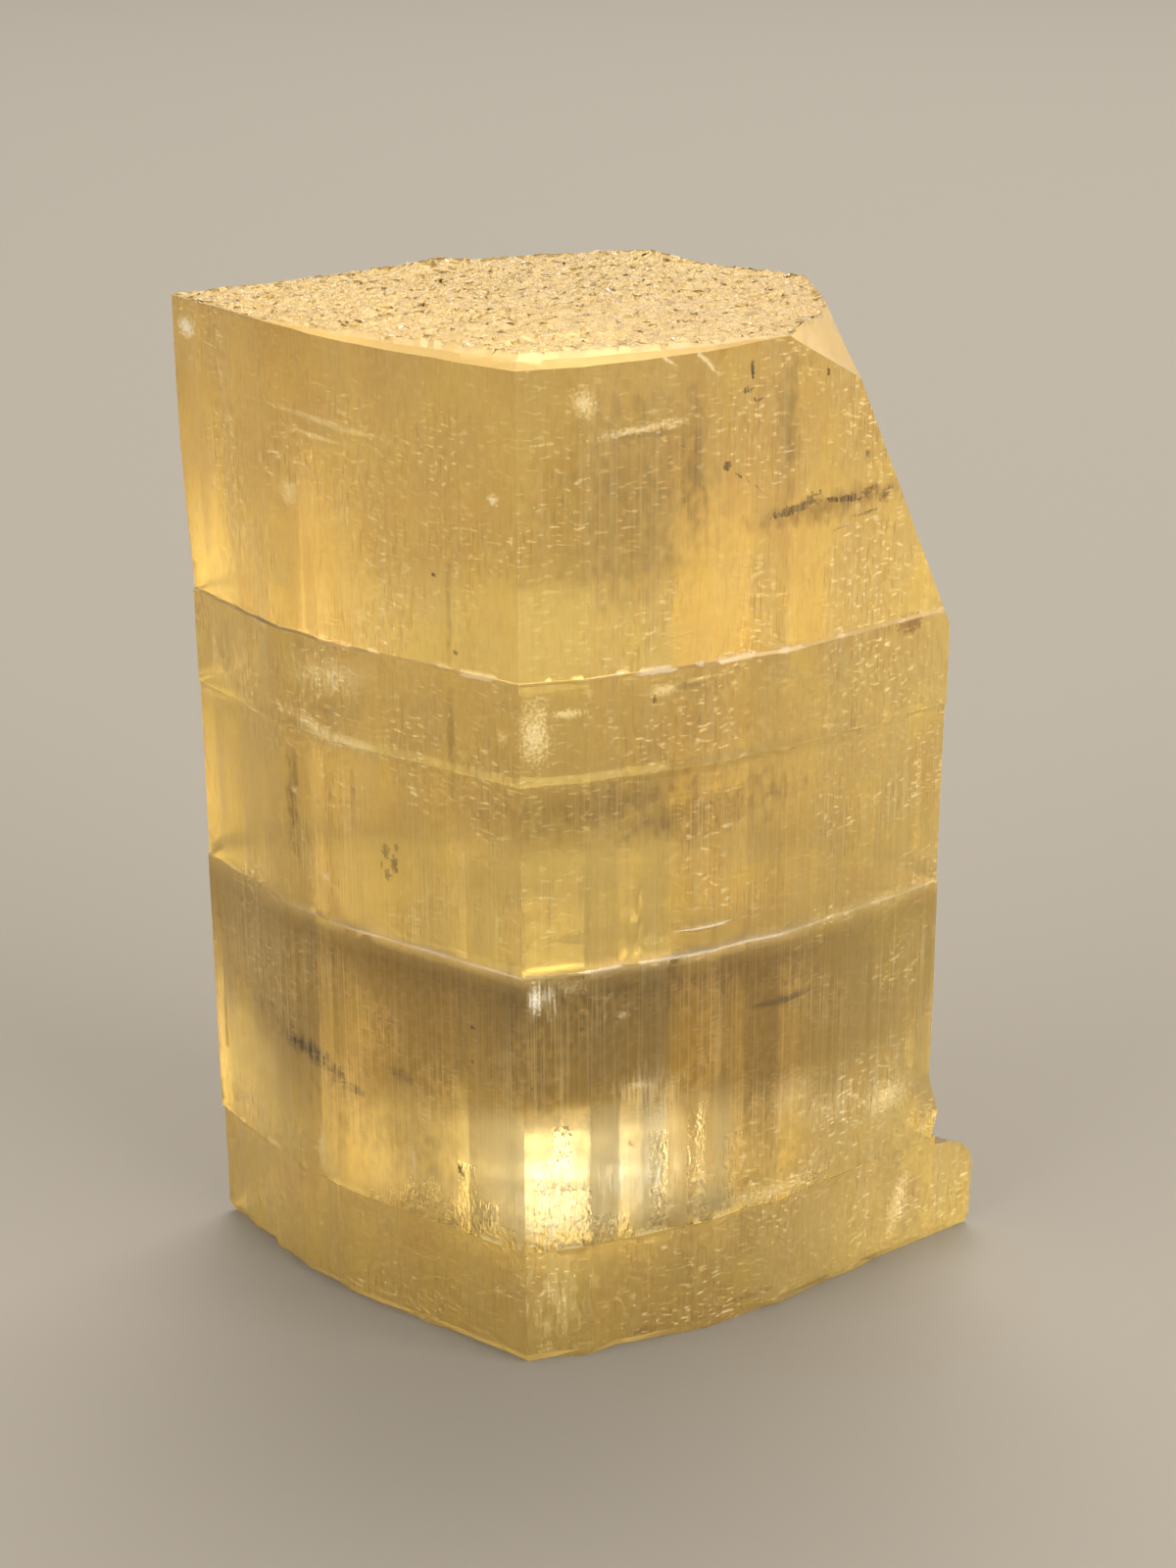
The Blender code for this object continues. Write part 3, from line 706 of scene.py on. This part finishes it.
def near(mark, place):
    """Whether a mark may reach a face with its middle at this place."""
    x, z, wide, tall, tilt = mark[:5]
    if tilt:
        wide = tall = max(wide, tall)
    return (abs(place.x - x) < MARK_REACH * wide + FACE_ROOM[0]
            and abs(place.z - z) < MARK_REACH * tall + FACE_ROOM[1])


print("marks round the front's middle:",
      sum(near(mark, Vector((0.0, 0.0, 18.0))) for marks in MARKS.values() for mark in marks))

# %% Paint
GRIT = (0.13, 0.13, 0.26)      # mm: the grain of the whole front
STRIP_ROUGHNESS = 0.20         # at most, in the clear strip
GLITTER_SMOOTHS = 0.16         # what glitter takes from the roughness
GLITTER_DEEPENS = 0.018        # and adds to the grain's depth, in mm
HAZE_DIMS = 0.5                # what a full haze takes from the clearness
CROWD_SIZE = (2.6, 2.6, 2.2)   # mm
CROWD_NOISE = (-0.1, 0.4)      # the noise where a crowd starts and where it is full
FEW_SPECKS = 0.2               # outside the crowds
MORE_SPECKS = 0.4              # what a crowd adds
SHADE_HIDES = 0.6              # the share of the specks that don't show under the painted shade


def crowding(place):
    """How crowded with specks the front is at a place in mm: in clouds, and less where shade is
    painted.
    """
    clouds = ramp(noise.noise(cells(place, CROWD_SIZE)), *CROWD_NOISE)
    return (FEW_SPECKS + MORE_SPECKS * clouds) * (1.0 - SHADE_HIDES * shade_share(place))


def paint_finish(bm, finish_of):
    """Write every face's finish: its grain, and its corners' roughness, clearness and tint."""
    layers = bm.loops.layers
    surface, tint = layers.float_vector["surface"], layers.float_color["tint"]
    crowd, grain = layers.float["crowd"], bm.faces.layers.float_vector["grain"]
    for face in bm.faces:
        kind = finish_of(face)
        code, rough, clear, size, depth = FINISHES[kind]
        striated = kind == "striated"
        front = striated and is_front(face)
        middle = face.calc_center_median() / MM
        glint = glitter(middle, front) if striated else 0.0
        if in_strip(middle, front):
            rough = min(rough, STRIP_ROUGHNESS)
        face[grain] = [1 / (v * MM) for v in (GRIT if front else size)]
        for corner in face.loops:
            place = corner.vert.co / MM
            corner[surface] = (rough - GLITTER_SMOOTHS * glint,
                               clear - (HAZE_DIMS * haze(place) if front else 0.0),
                               (depth + GLITTER_DEEPENS * glint) * MM)
            corner[tint] = prism_tint(place, middle, front) if striated else linear(code)
            corner[crowd] = crowding(place) if front else 0.0


def paint_marks(bm, finish_of, name, marks):
    """Write one kind of mark: each front face takes the mark of the kind that is nearest to it."""
    oval, ink = bm.loops.layers.float_vector[name], bm.faces.layers.float_color[name + " tint"]
    for face in bm.faces:
        middle = face.calc_center_median() / MM
        front = is_front(face) and finish_of(face) == "striated"
        reaching = [mark for mark in marks if near(mark, middle)] if front else []
        mark = min(reaching, key=lambda m: oval_place(m, middle).length, default=None)
        if mark:
            face[ink] = (*linear(mark[6])[:3], mark[5])
        for corner in face.loops:
            corner[oval] = oval_place(mark, corner.vert.co / MM) if mark else FAR


def paint(obj, finish_of):
    """Write the attributes that the material reads on every face of an object."""
    mesh = obj.data
    mesh.materials.append(topaz_material)
    for name in ("surface", *MARKS):
        mesh.attributes.new(name, "FLOAT_VECTOR", "CORNER")
    for name in MARKS:
        mesh.attributes.new(name + " tint", "FLOAT_COLOR", "FACE")
    mesh.attributes.new("tint", "FLOAT_COLOR", "CORNER")
    mesh.attributes.new("crowd", "FLOAT", "CORNER")
    mesh.attributes.new("grain", "FLOAT_VECTOR", "FACE")
    bm = bmesh.new()
    bm.from_mesh(mesh)
    paint_finish(bm, finish_of)
    for name, marks in MARKS.items():
        paint_marks(bm, finish_of, name, marks)
    bm.to_mesh(mesh)
    bm.free()


def outside_finish(face):
    """The finish of a face on the crystal's outside."""
    tests = (("etched", is_frost), ("broken", is_broken), ("base", is_base), ("worn", is_rim))
    return next((name for name, test in tests if test(face)), "striated")


paint(crystal, outside_finish)
print("attributes:", sorted(a.name for a in crystal.data.attributes if not a.is_internal))


# %% [markdown]
# ## The cracks
# Topaz splits perfectly across its length.  Each split that has begun is a gap of air thinner
# than a hair, and it shows because light that meets it at a low angle bounces off it as off a
# mirror.  A slice through the block gives the gap's outline.  It is given a thickness and turned
# inside out, since the air is inside it and the topaz outside.

# %% Slice the gaps
BENDS = {"top": 0.02, "third": 0.03, "second": 0.04, "lowest": 0.05}             # mm
BEND_GRAIN = (3.2, 2.4, 3.0)   # mm
GAP = 0.01 * MM
GAP_CELL = 0.7 * MM            # size of the faces that bend
GAP_MARGIN = 0.997             # the gaps end just inside the faces
SKIN_DEPTH = 1.6 * MM          # the third crack reaches only this far in
SKIN_DROP = 0.06 * MM          # and dips towards its inner edge


def cleavage(name, only_skin=False):
    """An air gap across the crystal at one height, slightly bent."""
    height = CLEAVAGES[name] * MM
    only(block)
    bpy.ops.object.duplicate()
    gap = bpy.context.active_object
    gap.name = "crack_" + name
    edit(gap)
    bpy.ops.mesh.bisect(plane_co=(0, 0, height), plane_no=(0, 0, 1), use_fill=True,
                        clear_inner=True, clear_outer=True, threshold=CUT_TOLERANCE)
    select(gap)
    bpy.ops.transform.resize(value=(GAP_MARGIN, GAP_MARGIN, 1.0), center_override=(0, 0, height))
    if only_skin:
        bpy.ops.mesh.inset(thickness=SKIN_DEPTH)
        bpy.ops.transform.translate(value=(0, 0, -SKIN_DROP))
        bpy.ops.mesh.delete(type="FACE")
    cut_across(gap, (1, 0, 0), low.x, high.x, GAP_CELL)
    cut_across(gap, (0, 1, 0), low.y, high.y, GAP_CELL)
    close()
    gap.vertex_groups.new(name="all").add(range(len(gap.data.vertices)), 1.0, "REPLACE")
    push(gap, "all", BEND_GRAIN, BENDS[name], direction="Z")
    edit(gap)
    bpy.ops.mesh.extrude_region_move(TRANSFORM_OT_translate={"value": (0, 0, GAP)})
    select(gap)
    bpy.ops.mesh.normals_make_consistent(inside=True)
    close()
    return gap


gaps = [cleavage(name, only_skin=name == "third") for name in CLEAVAGES]
bpy.data.objects.remove(block)
for gap in gaps:
    print(gap.name, len(gap.data.polygons), [round(v / MM, 2) for v in gap.dimensions])

# %% [markdown]
# ## Flaws inside
# Partial cracks hang in the topaz near its faces and mirror light as the long ones do.  Each is
# a thin ragged plate of air, made from a circle and turned inside out.

# %% Find the crystal's faces
shell = BVHTree.FromObject(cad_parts["topaz_crystal"], bpy.context.evaluated_depsgraph_get())


def under_face(x, z, depth):
    """The point at a depth in mm under the front face, for a place in mm across and up."""
    point, normal, _, _ = shell.ray_cast(Vector((x * MM, -1.0, z * MM)), Vector((0, 1, 0)))
    return point - normal * depth * MM, normal


print("the front at mid height, mm:", [round(v / MM, 2) for v in under_face(0.0, 18.0, 0.0)[0]])


# %% Plates of air
# Place across and up, depth, length and breadth in mm, and tilt in degrees.
PLATES = (
    (2.6, 15.7, 0.05, 7.4, 2.2, 1), (1.4, 32.6, 0.3, 3.0, 1.2, -1), (-8.6, 32.1, 0.4, 3.4, 1.0, -1),
    (-8.8, 22.4, 0.3, 2.2, 0.9, -1), (3.0, 24.2, 0.4, 1.8, 0.6, -2), (7.0, 12.0, 0.6, 2.4, 0.9, -1),
)
RAGGED = 0.16                  # how ragged their edges are, as a share of the breadth
FLATTEN = 0.06                 # what is left of the raggedness across the plate


def plate(number, x, z, depth, length, breadth, tilt):
    """One ragged plate of air under the front faces."""
    place, normal = under_face(x, z, depth + 0.5 * breadth)
    bpy.ops.object.select_all(action="DESELECT")
    bpy.ops.mesh.primitive_circle_add(vertices=26, radius=0.5 * MM, fill_type="NGON")
    sheet = bpy.context.active_object
    sheet.name = f"plate_{number}"
    bpy.ops.object.mode_set(mode="EDIT")
    bpy.ops.mesh.select_all(action="SELECT")
    bpy.ops.transform.resize(value=(length, breadth, 1.0), center_override=(0, 0, 0))
    bpy.ops.transform.vertex_random(offset=RAGGED * breadth * MM, uniform=0.8, seed=number)
    bpy.ops.transform.resize(value=(1.0, 1.0, FLATTEN), center_override=(0, 0, 0))
    bpy.ops.mesh.extrude_region_move(TRANSFORM_OT_translate={"value": (0, 0, GAP)})
    bpy.ops.mesh.select_all(action="SELECT")
    bpy.ops.mesh.normals_make_consistent(inside=True)
    bpy.ops.transform.rotate(value=math.radians(tilt), orient_axis="X", center_override=(0, 0, 0))
    facing = math.atan2(normal.x, -normal.y)
    bpy.ops.transform.rotate(value=-facing, orient_axis="Z", center_override=(0, 0, 0))
    bpy.ops.transform.translate(value=place)
    bpy.ops.object.mode_set(mode="OBJECT")
    return sheet


plates = [plate(n, *facts) for n, facts in enumerate(PLATES, 1)]
print("plates of air:", len(plates))

# %% Bubbles
BUBBLES = 90
ACROSS = (-11.5, 8.0)          # mm, as are the next three
UP = (1.0, 33.5)
DEPTHS = (0.1, 1.6)
RADII = (0.02, 0.055)
STRETCH = (0.6, 3.0)           # height to width
rng = random.Random(5)
bubbles = []
for number in range(BUBBLES):
    x, z = rng.uniform(*ACROSS), rng.uniform(*UP)
    place, _ = under_face(x, z, rng.uniform(*DEPTHS))
    bpy.ops.object.select_all(action="DESELECT")
    radius = rng.uniform(*RADII) * MM
    bpy.ops.mesh.primitive_ico_sphere_add(subdivisions=1, radius=radius, location=place,
                                          scale=(1.0, 1.0, rng.uniform(*STRETCH)))
    bubble = bpy.context.active_object
    bpy.ops.object.transform_apply(location=True, rotation=True, scale=True)
    bpy.ops.object.mode_set(mode="EDIT")
    bpy.ops.mesh.select_all(action="SELECT")
    bpy.ops.mesh.flip_normals()
    bpy.ops.object.mode_set(mode="OBJECT")
    bubbles.append(bubble)
print("bubbles:", len(bubbles))

# %% Join the cracks and flaws to the crystal
CRACK_SPREAD = 0.3             # mm: a bent crack's faces lie this near its height
SMOOTH_ANGLE = 14              # degrees: the true edges stay sharp


def inside_finish(face):
    """The finish of a face inside: the lowest crack is gritty, which makes it glitter."""
    gritty = abs(face.calc_center_median().z / MM - CLEAVAGES["lowest"]) < CRACK_SPREAD
    return "gritty" if gritty else "cleaved"


only(gaps[0])
for piece in gaps + plates + bubbles:
    piece.select_set(True)
bpy.ops.object.join()
flaws = bpy.context.active_object
paint(flaws, inside_finish)
only(crystal)
flaws.select_set(True)
bpy.ops.object.join()
bpy.ops.object.shade_smooth_by_angle(angle=math.radians(SMOOTH_ANGLE))
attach(crystal, "root")
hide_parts("topaz_crystal")
print("crystal triangles:", sum(len(p.vertices) - 2 for p in crystal.data.polygons))
